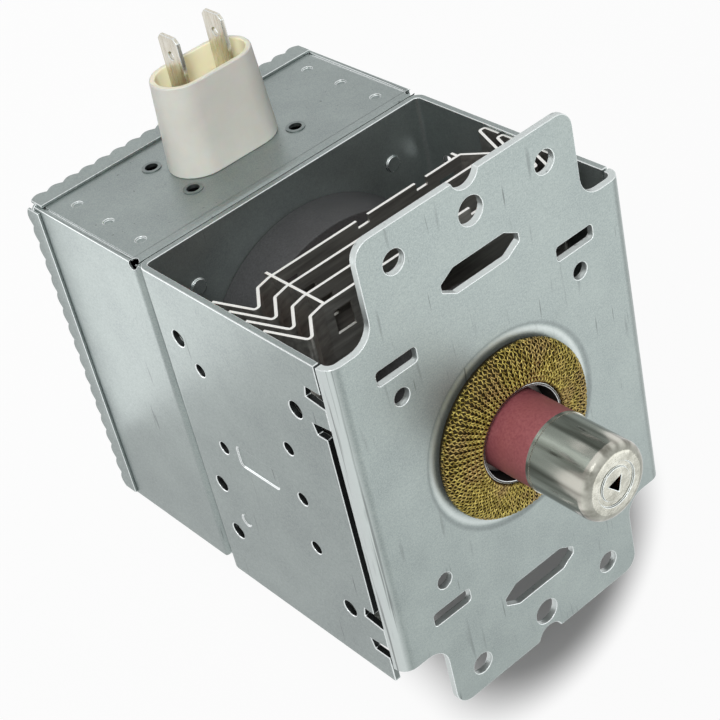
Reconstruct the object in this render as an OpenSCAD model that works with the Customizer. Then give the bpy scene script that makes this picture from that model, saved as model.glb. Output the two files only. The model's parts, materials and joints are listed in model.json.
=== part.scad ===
// Magnetron of a microwave oven: folded steel yoke with a front mounting plate,
// ring magnets, finned copper anode, antenna output and a shielded filter box.
// Z is the antenna axis, Y is the air flow, and the connector faces +Y.
// The origin is on the antenna axis, at the outer face of the front plate.

/* [Body] */
// Width shared by the yoke, the filter case and the front plate
body_w = 71.6; // [68:0.2:78]
// Clear height inside the yoke, from the front plate to the back wall
yoke_gap = 53.5; // [51:0.5:60]
// Sheet thickness of the yoke
yoke_t = 1.4; // [1.2:0.1:1.8]
// Length of the yoke along the air flow
yoke_len = 76.8; // [75.6:0.2:84]
// Offset of the yoke's middle from the antenna axis
yoke_shift = -2.4; // [-3:0.1:-1.8]
// Outer bend radius at the back of the yoke
yoke_bend_r = 2.4; // [2:0.1:3]

/* [Yoke walls] */
// Gap between the middle of a side wall and the edge of the front plate
wall_gap = 2; // [1:0.1:3]
// Gap between the end of a side wall and the edge of the front plate
wall_end_gap = 0.5; // [0.3:0.1:2]
// Width of a clinch tab that reaches the front plate
clinch_w = 4.8; // [4:0.1:6]
// Distance of a clinch tab from the middle of the wall
clinch_y = 26.7; // [24:0.1:28]
// Width of the relief notch on each side of a clinch tab
relief_w = 3; // [2:0.1:3.5]
// Depth of the relief notches
relief_depth = 5.3; // [4:0.1:7]
// Diameter of the large tooling holes in the side walls
tooling_d = 3.6; // [2:0.1:4.2]
// Diameter of the small tooling holes in the side walls
pilot_d = 2.8; // [1.5:0.1:3.4]
// Length of the blank stamped field on the left wall
field_len = 12.2; // [8:0.1:14]
// Width of the blank stamped field on the left wall
field_w = 5; // [3:0.1:6]
// Depth of the blank stamped field
field_depth = 0.3; // [0.1:0.05:0.5]
// Diameter of the clinch bosses on the back wall
boss_d = 3.4; // [2.5:0.1:4.5]
// Distance of the clinch bosses from the axis, across and along
boss_at = 25.2; // [24:0.1:27]

/* [Front plate] */
// Sheet thickness of the front plate
plate_t = 1.5; // [1.2:0.1:1.8]
// Length of the front plate, ear to ear
plate_len = 109.8; // [106:0.2:118]
// Offset of the plate's two ends from the antenna axis
ear_shift = 0.4; // [-1:0.1:1]
// Width of the mounting ears
ear_w = 50.8; // [46:0.2:54]
// Length of the plate between the shoulders beside the ears
shoulder_len = 72.8; // [70:0.2:75]
// Offset of the shoulders and slots from the antenna axis
plate_shift = -0.5; // [-1:0.1:0]
// Corner radius of the ears
ear_r = 3.6; // [2:0.1:5]
// Radius of the hollow fillet where an ear meets the shoulder
shoulder_r = 4.4; // [3:0.1:5]
// Outer radius of the bend along each side
plate_bend_r = 3; // [2.5:0.1:3.5]
// Straight lip below the side bend
plate_lip = 0.4; // [0.2:0.1:1]
// Spacing of the corner mounting holes across the ear
mount_pitch_x = 35.6; // [32:0.1:40]
// Spacing of the mounting holes from ear to ear
mount_pitch_y = 96.4; // [94:0.1:100]
// Diameter of the corner mounting holes
mount_hole_d = 4.7; // [4:0.1:5.2]
// Diameter of the middle hole in each ear
middle_hole_d = 5.6; // [4.5:0.1:6]
// Length of the long slot inside each row of holes
long_slot_len = 18.6; // [12:0.2:24]
// Width of the long slot
long_slot_w = 5.3; // [4:0.1:6]
// Width of the long slot at its tapered ends
long_slot_end_w = 1.6; // [1.2:0.1:3]
// Length of the taper at each end of the long slot
long_slot_taper = 3.2; // [2:0.1:5]
// Distance of the long slots from the axis
long_slot_y = 37.8; // [35:0.1:39]
// Length of the four short slots
short_slot_len = 9.3; // [6:0.1:10]
// Width of the four short slots
short_slot_w = 3.1; // [2:0.1:3.6]
// Distance of the short slots from the middle, across
short_slot_x = 21.9; // [20:0.1:23]
// Distance of the short slots from the middle, along
short_slot_y = 29.1; // [28:0.1:31]
// Diameter of the four small holes beside the short slots
small_hole_d = 3.5; // [2:0.1:4]
// Distance of the small holes from the middle, both ways
small_hole_at = 22.2; // [21:0.1:24]
// Width of the notch in the edge of each ear
edge_notch_w = 6.2; // [4:0.1:8]
// Depth of that notch
edge_notch_depth = 2.4; // [1.5:0.1:3]
// Diameter of the shallow seat around the gasket
seat_d = 42; // [39:0.5:43]
// Depth of the gasket seat
seat_depth = 0.5; // [0.2:0.1:0.8]
// Outer diameter of the collar inside the gasket
collar_d = 20.2; // [19.6:0.1:20.8]
// Wall of the collar
collar_t = 0.6; // [0.4:0.1:0.8]
// Height of the collar above the plate
collar_h = 3; // [2:0.1:4]

/* [Output] */
// Outer diameter of the gasket ring
gasket_d = 35.6; // [34:0.1:38]
// Height of the gasket ring above the plate
gasket_h = 3.2; // [2.5:0.1:4.5]
// Outer diameter of the output ceramic
ceramic_d = 16; // [14:0.1:16.4]
// Wall of the output ceramic
ceramic_t = 2.2; // [1.5:0.1:3]
// Outer diameter of the antenna cap
cap_d = 15.8; // [15.2:0.1:16.4]
// Sheet thickness of the antenna cap
cap_t = 0.5; // [0.4:0.05:0.7]
// Height of the cap's lower edge above the plate
cap_base_z = 12.4; // [10:0.1:14]
// Height of the cap's end above the plate
cap_end_z = 26.3; // [24.5:0.1:32]
// Radius of the rounded end of the cap
cap_r = 1.9; // [1:0.1:2.5]
// Size of the three-cornered hole in the cap, from its middle to a corner
cap_hole_r = 2; // [1.2:0.1:2.4]

/* [Magnets and anode] */
// Outer diameter of the input magnet, on the back wall
input_magnet_d = 57.2; // [54:0.2:58]
// Outer diameter of the output magnet, under the front plate
output_magnet_d = 52; // [48:0.2:52.4]
// Bore of the ring magnets
magnet_bore = 22; // [20.5:0.5:24]
// Thickness of each ring magnet
magnet_t = 11; // [10:0.1:11.4]
// Outer diameter of the anode cylinder
anode_d = 38; // [36:0.5:40]
// Wall of the anode cylinder
anode_t = 2; // [1.8:0.1:2.6]
// Number of anode vanes
vane_count = 10; // [8:2:12]
// Height of the vanes
vane_h = 9.5; // [9:0.1:10]
// Thickness of a vane
vane_t = 1.8; // [1.4:0.1:2]
// Diameter of the space between the vane tips
vane_bore = 9.2; // [9:0.1:10]

/* [Cooling fins] */
// Sheet thickness of a fin
fin_t = 0.6; // [0.4:0.05:0.7]
// Spacing of the fins
fin_pitch = 5; // [4.8:0.1:5.2]
// Height of the first fin above the input magnet
fin_lift = 12.2; // [11.5:0.1:12.6]
// Length of the fins along the air flow
fin_len = 71; // [66:0.5:71.5]
// Width of the bent end of a fin, from its corner to the side wall
fin_end_w = 11.3; // [10.6:0.1:12]
// Width of the curled end of a fin on the right, from its corner to the side wall
fin_curled_w = 9.9; // [9:0.1:11]
// Rise of the bent end above the flat
fin_rise = 5.8; // [5:0.1:6.2]
// Run of the falling leg, from the crest towards the wall
fin_fall = 3.1; // [2.4:0.1:3.4]
// Fall of the tip below the flat, against the wall
fin_drop = 3; // [1.5:0.1:3.2]
// Width of the curl at the foot of the falling leg on the right
fin_curl = 1.4; // [1.2:0.1:1.8]
// Height of the curl's return along the wall
fin_curl_h = 4; // [2:0.1:4.2]
// Radius of the bends, at the middle of the sheet
fin_bend_r = 0.6; // [0.4:0.05:0.65]
// Height of the collar on the anode
fin_collar_h = 2.4; // [1.5:0.1:3]
// Side of the square window near each corner of a fin, across
fin_window_w = 4.2; // [3:0.1:5]
// Length of that window along the air flow
fin_window_len = 5; // [3:0.1:6]
// Width of the notches in the fin's edges
fin_notch_w = 2.8; // [2:0.1:3.5]
// Depth of the notches in the fin's edges
fin_notch_depth = 1.6; // [1:0.1:2.5]

/* [Filter box] */
// Sheet thickness of the filter case and its cover
case_t = 0.6; // [0.5:0.05:0.8]
// Height of the filter case behind the yoke
case_h = 35.8; // [34:0.1:40]
// Length of the filter case along the air flow
case_len = 75.3; // [73:0.1:76]
// Bend radius along the front edges of the case
case_bend_r = 1.6; // [1.2:0.1:2]
// Diameter of the clinch dimples on the connector side
dimple_d = 2.2; // [1.5:0.1:2.6]
// Height of the cover's rim
rim_h = 4.3; // [3.5:0.1:5.5]
// How far the rim laps over the case
rim_lap = 2; // [1.5:0.1:3]
// Depth of the scallops along the rim's edge
scallop_depth = 0.9; // [0.4:0.1:1.2]
// Scallops along each side of the rim
scallop_count = 18; // [12:1:20]

/* [Connector] */
// Height of the connector's middle above the bottom of the case's walls
connector_at = 16.7; // [16:0.1:18]
// Width of the connector hood at its base
hood_w = 25; // [22:0.1:25.4]
// Depth of the connector hood at its base
hood_d = 13.4; // [12:0.1:13.8]
// Height of the connector hood above the case
hood_h = 19.6; // [16:0.1:24]
// Taper of the hood, rim over base
hood_taper = 0.9; // [0.86:0.01:1]
// Wall of the hood
hood_t = 1.3; // [1:0.1:1.6]
// Height of the solid floor of the hood above the case
hood_floor = 8; // [5:0.5:11]
// Width of the blade terminals
blade_w = 6.3; // [5.4:0.1:6.5]
// Thickness of the blade terminals
blade_t = 0.8; // [0.6:0.05:1]
// How far the blades stand out of the hood
blade_out = 8.4; // [6:0.1:10]
// Distance of each blade from the middle of the hood
blade_x = 5.4; // [5:0.1:6]
// Spacing of the rivets beside the connector, across
rivet_pitch_x = 26.3; // [26:0.1:28]
// Spacing of the rivets beside the connector, along the axis
rivet_pitch_z = 14.3; // [14:0.1:15]
// Shank diameter of the tubular rivets
rivet_d = 3.3; // [2.8:0.1:3.4]
// Bore of the tubular rivets
rivet_bore = 2.7; // [1.8:0.1:2.8]

/* [Choke coils] */
// Diameter of the choke wire
choke_wire_d = 1.4; // [1:0.1:1.5]
// Turns of each choke coil
choke_turns = 10; // [8:1:11]
// Diameter of the ferrite rods
ferrite_d = 5; // [4:0.1:5.2]
// Length of the ferrite rods
ferrite_len = 26; // [24:0.5:30]

/* [Hidden] */
$fn = 64;

steel = "#a9b3b2";
tinned = "#b7b2a4";
copper = "#b8734a";
ferrite = "#3a3a3d";
ivory = "#ece9dc";
SIDES = [-1, 1];
CORNERS = [[-1, -1], [1, -1], [1, 1], [-1, 1]];
// Running room between fitted round pieces, and overshoot of a cut
fit = 0.1;
// Clearance between faces that are brazed or welded together
touch = 0.02;
cut = 1;

// Levels along the antenna axis
half_w = body_w / 2;
flange_z = -(plate_bend_r + plate_lip);
plate_in_z = -plate_t;
back_in_z = plate_in_z - yoke_gap;
back_out_z = back_in_z - yoke_t;
output_end_z = plate_in_z - magnet_t;
input_end_z = back_in_z + magnet_t;
tube_mid_z = (output_end_z + input_end_z) / 2;
tube_half = (output_end_z - input_end_z) / 2;
case_front_z = back_out_z;
case_back_z = case_front_z - case_h;
connector_z = case_back_z + connector_at;

// Places along the air flow
yoke_top_y = yoke_shift + yoke_len / 2;
case_top_y = yoke_top_y;
case_low_y = case_top_y - case_len;
case_mid_y = (case_top_y + case_low_y) / 2;
wall_in_x = half_w - yoke_t;

// Seals and pole pieces
shell_t = 0.6;
shell_tube_d = 17.8;
shell_land = 1;
pole_t = 1.6;
pole_hole_d = 9.6;
pole_tip_d = 15;
pole_cone_d = 26;
pole_clear = 1.6;
anode_lip = 0.8;
pole_d = anode_d - 2 * anode_lip;
pole_tip_h = vane_h / 2 + pole_clear;
lead_hole_at = 9.5;
lead_d = 1.8;
lead_hole_d = 3.4;

// Straps lie in notches at both ends of the vanes
strap_h = 0.8;
strap_t = 0.7;
strap_notch_depth = 1.2;
strap_inner_r = 6.2;
strap_outer_r = 7.4;
strap_room = 0.3;

// Cathode
hat_d = 7.2;
hat_t = 1.2;
hat_boss_h = 1;
filament_d = 3.9;
filament_wire_d = 0.5;
filament_turns = 8;
cathode_lead_d = 1.4;
side_lead_x = 2.6;
hat_gap = vane_h + 0.6;
upper_hat_z = tube_mid_z + hat_gap / 2;
lower_hat_z = tube_mid_z - hat_gap / 2;

// Stem inside the filter box
shell_reach = 2;
stem_h = 11;
stem_d = 16;
stem_front_z = case_front_z - case_t - shell_reach;
stem_back_z = stem_front_z - stem_h;
terminal_t = 0.8;
terminal_split = 1.6;
stem_port_d = shell_tube_d + 1.2;

// Capacitor under the connector
plate_thick = 0.8;
capacitor_w = 23;
capacitor_d = 9.4;
capacitor_h = 9;
cup_t = 1.2;
cup_h = 16.5;
spigot_w = 18;
spigot_d = 8;
rod_d = 2;
case_in_y = case_top_y - case_t;
capacitor_top_y = case_in_y - plate_thick;
cup_low_y = capacitor_top_y - cup_h;
rod_low_y = cup_low_y - 3;
hood_floor_y = case_top_y + hood_floor;
hood_rim_y = case_top_y + hood_h;
blade_tip_y = hood_rim_y + blade_out;

// Choke coils lie beside the stem, behind it
choke_r = ferrite_d / 2 + fit + choke_wire_d / 2;
choke_x = blade_x + choke_r + 3.4;
choke_z = connector_z;
choke_len = ferrite_len - 3;
choke_top_y = rod_low_y - 3;
choke_low_y = choke_top_y - choke_len;
choke_mid_y = (choke_top_y + choke_low_y) / 2;

// Unit vector
function unit(v) = v / norm(v);

// Points of an arc about c
function arc(c, r, a0, a1, n = 10) =
    [for (i = [0:n]) c + r * [cos(a0 + (a1 - a0) * i / n), sin(a0 + (a1 - a0) * i / n)]];

// One corner q of an outline, rounded to radius r between the neighbours p and s
function round_corner(p, q, s, r, n) =
    let (
        u = unit(p - q),
        v = unit(s - q),
        half = acos(u * v) / 2,
        c = q + unit(u + v) * r / sin(half),
        a = q + u * r / tan(half) - c,
        b = q + v * r / tan(half) - c,
        a0 = atan2(a.y, a.x),
        turn = (atan2(b.y, b.x) - a0 + 540) % 360 - 180
    )
    arc(c, r, a0, a0 + turn, n);

// An outline with a radius at each corner; a radius of 0 keeps the corner sharp
function rounded(points, radii, n = 7) =
    let (count = len(points))
    [for (i = [0:count - 1])
        each radii[i] > 0
            ? round_corner(points[(i + count - 1) % count], points[i], points[(i + 1) % count], radii[i], n)
            : [points[i]]];

// A rectangle about the origin with rounded corners
function rounded_box(w, h, r) =
    rounded([for (c = CORNERS) [c.x * w / 2, c.y * h / 2]], [r, r, r, r]);

// A slot about the origin whose ends taper to a short flat
function tapered_slot(length, width, end_w, taper) =
    let (a = length / 2, b = a - taper, h = width / 2, e = end_w / 2)
    rounded(
        [[a, -e], [a, e], [b, h], [-b, h], [-a, e], [-a, -e], [-b, -h], [b, -h]],
        [for (i = [1:8]) e / 2], 3);

// A slot about the origin with full round ends
function slot(length, width, n = 12) =
    let (r = width / 2, a = length / 2 - r)
    concat(arc([a, 0], r, -90, 90, n), arc([-a, 0], r, 90, 270, n));

// Section of a folded channel: outer half width, bend radius, thickness, top and edge levels
function channel(half, r, t, top, edge) =
    let (s = sign(top - edge))
    rounded(
        [[-half, edge], [-half, top], [half, top], [half, edge],
         [half - t, edge], [half - t, top - s * t], [t - half, top - s * t], [t - half, edge]],
        [0, r, r, 0, 0, r - t, r - t, 0]);

// Extrude an X-Z outline along Y, from y0 to y1
module along_y(y0, y1) {
    translate([0, y1, 0])
        rotate([90, 0, 0])
            linear_extrude(y1 - y0)
                children();
}

// Extrude a Y-Z outline along X, from x0 to x1
module along_x(x0, x1) {
    translate([x0, 0, 0])
        rotate([90, 0, 90])
            linear_extrude(x1 - x0)
                children();
}

// A tube about Z
module tube(r_out, r_in, z0, z1) {
    translate([0, 0, z0])
        difference() {
            cylinder(h = z1 - z0, r = r_out);
            translate([0, 0, -cut])
                cylinder(h = z1 - z0 + 2 * cut, r = r_in);
        }
}

// A round bar about Z
module bar(r, z0, z1) {
    translate([0, 0, z0])
        cylinder(h = z1 - z0, r = r);
}

// A round bar along Y at x and z
module bar_y(x, z, r, y0, y1) {
    translate([x, y0, z])
        rotate([-90, 0, 0])
            cylinder(h = y1 - y0, r = r);
}

// Direction of a path at its point i
function heading(p, i) = unit(p[min(i + 1, len(p) - 1)] - p[max(i - 1, 0)]);

// The part of v that is square to the unit vector h, as a unit vector
function square_to(v, h) = unit(v - (v * h) * h);

// A side vector carried along a path without twist
function side_vectors(p, start) =
    let (last = len(p) - 1)
    [for (i = 0, n = square_to(start, heading(p, 0)); i <= last;
          i = i + 1, n = square_to(n, heading(p, min(i, last)))) n];

// A wire of the given diameter swept along a path
module wire(path, d, sides, start) {
    normals = side_vectors(path, start);
    last = len(path) - 1;
    points = [
        for (i = [0:last])
            let (n = normals[i], b = cross(heading(path, i), n))
            for (k = [0:sides - 1])
                path[i] + d / 2 * (cos(360 * k / sides) * n + sin(360 * k / sides) * b)];
    walls = [
        for (i = [0:last - 1], k = [0:sides - 1])
            let (m = (k + 1) % sides)
            [i * sides + k, (i + 1) * sides + k, (i + 1) * sides + m, i * sides + m]];
    near_end = [for (k = [0:sides - 1]) k];
    far_end = [for (k = [sides - 1:-1:0]) last * sides + k];
    polyhedron(points = points, faces = concat(walls, [near_end, far_end]), convexity = 8);
}

// Front plate: a folded channel trimmed to the eared outline
function plate_outline() =
    let (
        e = ear_w / 2,
        y0 = ear_shift - plate_len / 2,
        y1 = ear_shift + plate_len / 2,
        low = plate_shift - shoulder_len / 2,
        high = plate_shift + shoulder_len / 2,
        w = half_w
    )
    rounded(
        [[-e, y0], [e, y0], [e, low], [w, low], [w, high], [e, high],
         [e, y1], [-e, y1], [-e, high], [-w, high], [-w, low], [-e, low]],
        [ear_r, ear_r, shoulder_r, 0, 0, shoulder_r, ear_r, ear_r, shoulder_r, 0, 0, shoulder_r]);

module plate_openings() {
    notch_r = (pow(edge_notch_w / 2, 2) + pow(edge_notch_depth, 2)) / (2 * edge_notch_depth);
    long_slot = tapered_slot(long_slot_len, long_slot_w, long_slot_end_w, long_slot_taper);
    for (c = CORNERS) {
        translate([c.x * mount_pitch_x / 2, c.y * mount_pitch_y / 2])
            circle(d = mount_hole_d);
        translate([c.x * short_slot_x, plate_shift + c.y * short_slot_y])
            polygon(rounded_box(short_slot_len, short_slot_w, short_slot_w / 4));
        translate([c.x * small_hole_at, c.y * small_hole_at])
            circle(d = small_hole_d);
    }
    for (s = SIDES) {
        translate([0, s * mount_pitch_y / 2])
            circle(d = middle_hole_d);
        translate([0, plate_shift + s * long_slot_y])
            polygon(long_slot);
        translate([0, ear_shift + s * (plate_len / 2 - edge_notch_depth + notch_r)])
            circle(r = notch_r);
    }
}

module front_plate() {
    seat_r = seat_d / 2;
    seat_slope = 0.8;
    color(steel)
        difference() {
            union() {
                difference() {
                    intersection() {
                        along_y(ear_shift - plate_len / 2, ear_shift + plate_len / 2)
                            polygon(channel(half_w, plate_bend_r, plate_t, 0, flange_z));
                        translate([0, 0, flange_z - cut])
                            linear_extrude(cut - flange_z + cut)
                                polygon(plate_outline());
                    }
                    translate([0, 0, plate_in_z - cut])
                        linear_extrude(plate_t + 2 * cut)
                            plate_openings();
                    translate([0, 0, -seat_depth])
                        cylinder(h = 2 * seat_depth, r1 = seat_r - seat_slope, r2 = seat_r + seat_slope);
                }
                bar(collar_d / 2, plate_in_z, collar_h);
            }
            bar(collar_d / 2 - collar_t, plate_in_z - cut, collar_h + cut);
        }
}

// Holes of the yoke's side walls: place from the wall's middle, height above its back, diameter
wall_holes = [
    [24.6, 7.8, tooling_d], [-24.6, 7.8, tooling_d], [-12.1, 7.1, tooling_d],
    [24.5, 43.2, tooling_d], [-24.5, 43.2, tooling_d],
    [19.1, 12.6, pilot_d], [0, 12.6, pilot_d],
    [12.3, 37, pilot_d], [0, 37, pilot_d], [-12.3, 37, pilot_d]
];
wall_dent = [-19.1, 12.6];
field_y = 0.6;
field_lift = 23.5;

// Y-Z outline that is cut from the front edge of both side walls, about the yoke's middle
function wall_edge_cut() =
    let (
        top = flange_z + cut,
        tab = clinch_w / 2,
        notch = tab + relief_w,
        middle = flange_z - wall_gap,
        ends = flange_z - wall_end_gap,
        deep = flange_z - relief_depth,
        slant = 0.6
    )
    [for (s = SIDES) [
        [s * (clinch_y - notch), top],
        [s * (clinch_y - notch), deep + slant],
        [s * (clinch_y - tab - slant), deep],
        [s * (clinch_y - tab), flange_z - slant],
        [s * (clinch_y - tab), top]
    ], for (s = SIDES) [
        [s * (clinch_y + tab), top],
        [s * (clinch_y + tab), flange_z - slant],
        [s * (clinch_y + tab + slant), deep],
        [s * (clinch_y + notch), deep + slant],
        [s * (clinch_y + notch), top]
    ], for (s = SIDES) [
        [s * (clinch_y + notch - slant), top],
        [s * (clinch_y + notch - slant), ends],
        [s * (yoke_len / 2 + cut), ends],
        [s * (yoke_len / 2 + cut), top]
    ], [
        [clinch_y - notch + slant, top],
        [clinch_y - notch + slant, middle],
        [notch - slant - clinch_y, middle],
        [notch - slant - clinch_y, top]
    ]];

// Yoke: one U of sheet, with clinch tabs that butt against the folded edge of the front plate
module yoke_frame() {
    boss_h = 0.5;
    boss_dent_d = boss_d / 2;
    color(steel)
        difference() {
            union() {
                along_y(yoke_shift - yoke_len / 2, yoke_top_y)
                    polygon(channel(half_w, yoke_bend_r, yoke_t, back_out_z, flange_z));
                for (c = CORNERS)
                    translate([c.x * boss_at, c.y * boss_at, 0])
                        bar(boss_d / 2, back_out_z, back_in_z + boss_h);
            }
            translate([0, yoke_shift, 0])
                for (outline = wall_edge_cut())
                    along_x(-half_w - cut, half_w + cut)
                        polygon(outline);
            for (h = wall_holes)
                translate([-half_w - cut, yoke_shift + h[0], back_out_z + h[1]])
                    rotate([0, 90, 0])
                        cylinder(h = body_w + 2 * cut, d = h[2]);
            translate([-half_w - cut, yoke_shift + wall_dent[0], back_out_z + wall_dent[1]])
                rotate([0, 90, 0])
                    cylinder(h = cut + field_depth, d = pilot_d);
            translate([-half_w - cut, yoke_shift + field_y, back_out_z + field_lift])
                rotate([90, 0, 90])
                    linear_extrude(cut + field_depth)
                        polygon(rounded_box(field_w, field_len, field_w / 5));
            for (c = CORNERS)
                translate([c.x * boss_at, c.y * boss_at, 0])
                    bar(boss_dent_d / 2, back_out_z - cut, back_in_z - boss_h / 2);
            bar(stem_port_d / 2, back_out_z - cut, back_in_z + cut);
        }
}

// Filter case: a five-sided sheet box behind the yoke, open at the back
function case_section(low, high, inset, r) =
    let (front = case_front_z - inset)
    rounded(
        [[low + inset, case_back_z - (inset > 0 ? cut : 0)], [low + inset, front],
         [high - inset, front], [high - inset, case_back_z - (inset > 0 ? cut : 0)]],
        [0, r, r, 0]);

module case_block(inset, r) {
    intersection() {
        along_x(-half_w + inset, half_w - inset)
            polygon(case_section(case_low_y, case_top_y, inset, r));
        along_y(case_low_y + inset, case_top_y - inset)
            polygon(case_section(-half_w, half_w, inset, r));
    }
}

module filter_case() {
    seam_w = 0.5;
    seam_depth = case_t * 0.6;
    seam_x = half_w - case_t - seam_w;
    relief_d = 2.2;
    relief_in = relief_d / 3;
    dimple_x = 30;
    dimple_pitch = 11.1;
    dimple_shift = 1.6;
    dimple_depth = case_t * 0.7;
    color(steel)
        difference() {
            case_block(0, case_bend_r);
            case_block(case_t, case_bend_r - case_t);
            bar(stem_port_d / 2, case_front_z - case_t - cut, case_front_z + cut);
            for (s = SIDES) {
                translate([s * seam_x - seam_w / 2, case_top_y - seam_depth, case_back_z - cut])
                    cube([seam_w, seam_depth + cut, case_h - case_bend_r]);
                translate([s * (half_w - relief_in), case_top_y - relief_in, case_front_z - case_bend_r])
                    sphere(d = relief_d);
                for (k = [-1:1])
                    bar_y(s * dimple_x, connector_z + dimple_shift + k * dimple_pitch, dimple_d / 2,
                          case_top_y - dimple_depth, case_top_y + cut);
            }
            translate([0, case_in_y - cut, connector_z])
                rotate([-90, 0, 0])
                    linear_extrude(case_t + 2 * cut)
                        polygon(slot(spigot_w + 2 * fit, spigot_d + 2 * fit));
            for (c = CORNERS)
                bar_y(c.x * rivet_pitch_x / 2, connector_z + c.y * rivet_pitch_z / 2, rivet_d / 2 + fit / 2,
                      case_in_y - cut, case_top_y + cut);
        }
}

// Cover: a plate on the back of the case with a scalloped rim lapped over its walls
function scalloped(length, front, back) =
    let (steps = 6, count = scallop_count * steps)
    concat(
        [[-length / 2, front], [length / 2, front]],
        [for (i = [count:-1:0])
            [length * (i / count - 0.5), back - scallop_depth * abs(sin(180 * i / steps))]]);

module filter_cover() {
    rim_front = case_back_z + rim_lap;
    rim_back = rim_front - rim_h + scallop_depth / 2;
    side_x = half_w + fit / 2;
    top_y = case_top_y + fit / 2;
    low_y = case_low_y - fit / 2;
    corner = 2 * case_t;
    color(steel) {
        translate([0, case_mid_y, case_back_z - case_t])
            linear_extrude(case_t)
                polygon(rounded_box(body_w + fit + case_t, case_len + fit + case_t, corner));
        for (s = SIDES)
            translate([s * (side_x + case_t / 2), case_mid_y, 0])
                along_x(-case_t / 2, case_t / 2)
                    polygon(scalloped(case_len - corner, rim_front, rim_back));
        along_y(top_y, top_y + case_t)
            polygon(scalloped(body_w - corner, rim_front, rim_back));
        along_y(low_y - case_t, low_y)
            polygon(scalloped(body_w - corner, rim_front, rim_back));
    }
}

// Output window, seen from the front
module gasket_ring() {
    inner = collar_d / 2 + fit / 2;
    outer = gasket_d / 2;
    crown = 2.2;
    lip = 0.6;
    color("#8f7a2e")
        rotate_extrude()
            polygon(rounded(
                [[inner, -seat_depth], [outer, -seat_depth], [outer, gasket_h - lip], [inner, gasket_h]],
                [0, lip / 2, crown, lip]));
}

module output_ceramic() {
    color("#c4727c")
        tube(ceramic_d / 2, ceramic_d / 2 - ceramic_t, plate_in_z + shell_land, cap_base_z - shell_t);
}

module antenna_cap() {
    r = cap_d / 2;
    groove_r = 4;
    groove_w = 1.1;
    groove_depth = cap_t * 0.7;
    turn = 42;
    color("#b9b8b0")
        difference() {
            rotate_extrude()
                polygon(rounded(
                    [[r - cap_t, cap_base_z], [r, cap_base_z], [r, cap_end_z], [0, cap_end_z],
                     [0, cap_end_z - cap_t], [r - cap_t, cap_end_z - cap_t]],
                    [0, 0, cap_r, 0, 0, cap_r - cap_t]));
            tube(groove_r + groove_w / 2, groove_r - groove_w / 2, cap_end_z - groove_depth, cap_end_z + cut);
            translate([0, 0, cap_end_z - cap_t - cut])
                rotate([0, 0, turn])
                    cylinder(h = cap_t + 2 * cut, r = cap_hole_r, $fn = 3);
        }
}

// Cup that joins the ceramic to the exhaust tube, inside the cap
exhaust_d = 6;
exhaust_t = 0.6;
exhaust_cup_h = 3.6;

module exhaust_seal() {
    skirt_r = cap_d / 2 - cap_t - fit;
    top_z = cap_base_z + exhaust_cup_h;
    color("#9d9c96") {
        tube(max(ceramic_d, cap_d) / 2 + fit, ceramic_d / 2 - ceramic_t, cap_base_z - shell_t, cap_base_z);
        tube(skirt_r, skirt_r - shell_t, cap_base_z, top_z);
        tube(skirt_r, exhaust_d / 2, top_z - shell_t, top_z);
    }
}

module exhaust_tube() {
    bottom_z = cap_base_z + exhaust_cup_h - 2 * shell_t;
    pinch_z = cap_end_z - 5;
    tip_z = cap_end_z - cap_t - 1.2;
    tip_t = 1;
    color(copper)
        difference() {
            union() {
                bar(exhaust_d / 2 - fit / 2, bottom_z, pinch_z);
                hull() {
                    bar(exhaust_d / 2 - fit / 2, pinch_z - exhaust_t, pinch_z, $fn = 32);
                    translate([-exhaust_d / 2, -tip_t / 2, tip_z - exhaust_t])
                        cube([exhaust_d, tip_t, exhaust_t]);
                }
            }
            bar(exhaust_d / 2 - exhaust_t, bottom_z - cut, pinch_z - exhaust_t);
        }
}

// Antenna lead: from one vane, out through the pole piece, and up the axis into the pinched tube
module antenna_lead() {
    vane_top = tube_mid_z + vane_h / 2;
    pole_z = output_end_z - shell_t - pole_t;
    pinch_gap = 6.2;
    color(copper)
        wire(
            [[lead_hole_at, 0, vane_top],
             [lead_hole_at, 0, pole_z - 3.6],
             [lead_hole_at - 0.3, 0, pole_z - 2.6],
             [6, 0, pole_z + 2],
             [4.6, 0, pole_z + 4.4],
             [0.6, 0, plate_in_z + 1],
             [0, 0, plate_in_z + 3.5],
             [0, 0, cap_end_z - pinch_gap]],
            lead_d, 8, [0, 1, 0]);
}

// Seal shells: flanged cups that close the vacuum tube and pass through the magnet bores
module seal_shell(tip_z, base_z) {
    s = sign(tip_z - base_z);
    low = min(tip_z, base_z);
    high = max(tip_z, base_z);
    r = shell_tube_d / 2;
    tube(r, r - shell_t, low, high);
    translate([0, 0, base_z - (s > 0 ? shell_t : 0)])
        tube(anode_d / 2 - fit, r - shell_t, 0, shell_t);
    translate([0, 0, tip_z - (s > 0 ? shell_t : 0)])
        tube(r, ceramic_d / 2 - ceramic_t, 0, shell_t);
}

module output_seal_shell() {
    color("#8d8f8e")
        seal_shell(plate_in_z + shell_land, output_end_z);
}

module input_seal_shell() {
    color("#8d8f8e")
        seal_shell(stem_front_z, input_end_z);
}

module output_magnet() {
    color(ferrite)
        tube(output_magnet_d / 2, magnet_bore / 2, output_end_z, plate_in_z);
}

module input_magnet() {
    color(ferrite)
        tube(input_magnet_d / 2, magnet_bore / 2, back_in_z, input_end_z);
}

// Pole pieces: iron funnels in the ends of the anode
function pole_section(rim, tip) =
    let (t = sign(rim - tip) * pole_t)
    [[pole_d / 2, rim], [pole_cone_d / 2, rim],
     [pole_tip_d / 2 - 1, tip + t], [pole_hole_d / 2, tip + t],
     [pole_hole_d / 2, tip], [pole_tip_d / 2, tip],
     [pole_cone_d / 2 + 0.6, rim - t], [pole_d / 2, rim - t]];

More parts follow.
